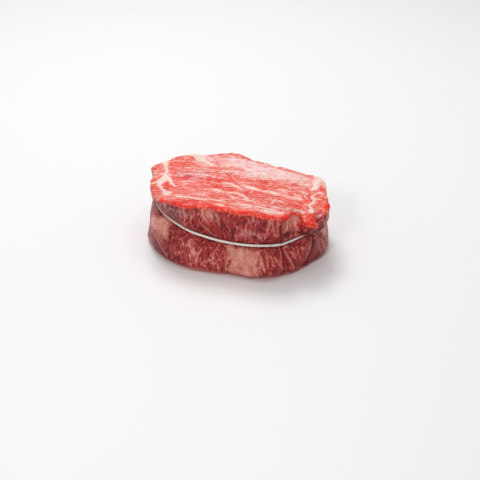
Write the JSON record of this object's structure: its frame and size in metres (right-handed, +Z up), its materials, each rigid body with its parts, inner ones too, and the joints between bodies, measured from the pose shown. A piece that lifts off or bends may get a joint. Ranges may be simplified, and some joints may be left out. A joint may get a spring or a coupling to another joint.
{
  "type": "raw beef ribeye steak",
  "caption": "Thick-cut raw beef ribeye steak, oval with a drooping corner, flat cut faces above and below, tied round its side with a white string set in a groove.",
  "frame": {"origin": "middle of the footprint, on the cut face that the steak lies on", "axes": "+X along the steak's length, +Z up out of the upper cut face, -Y towards the viewer's side"},
  "size_m": [0.1492, 0.1266, 0.0545],
  "materials": {
    "meat": "moist raw beef, red muscle with cream fat seams and a soft wet sheen",
    "string": "off-white twisted cotton, matt"
  },
  "bodies": {
    "root": {"steak": "meat", "string": "string"}
  },
  "joints": []
}
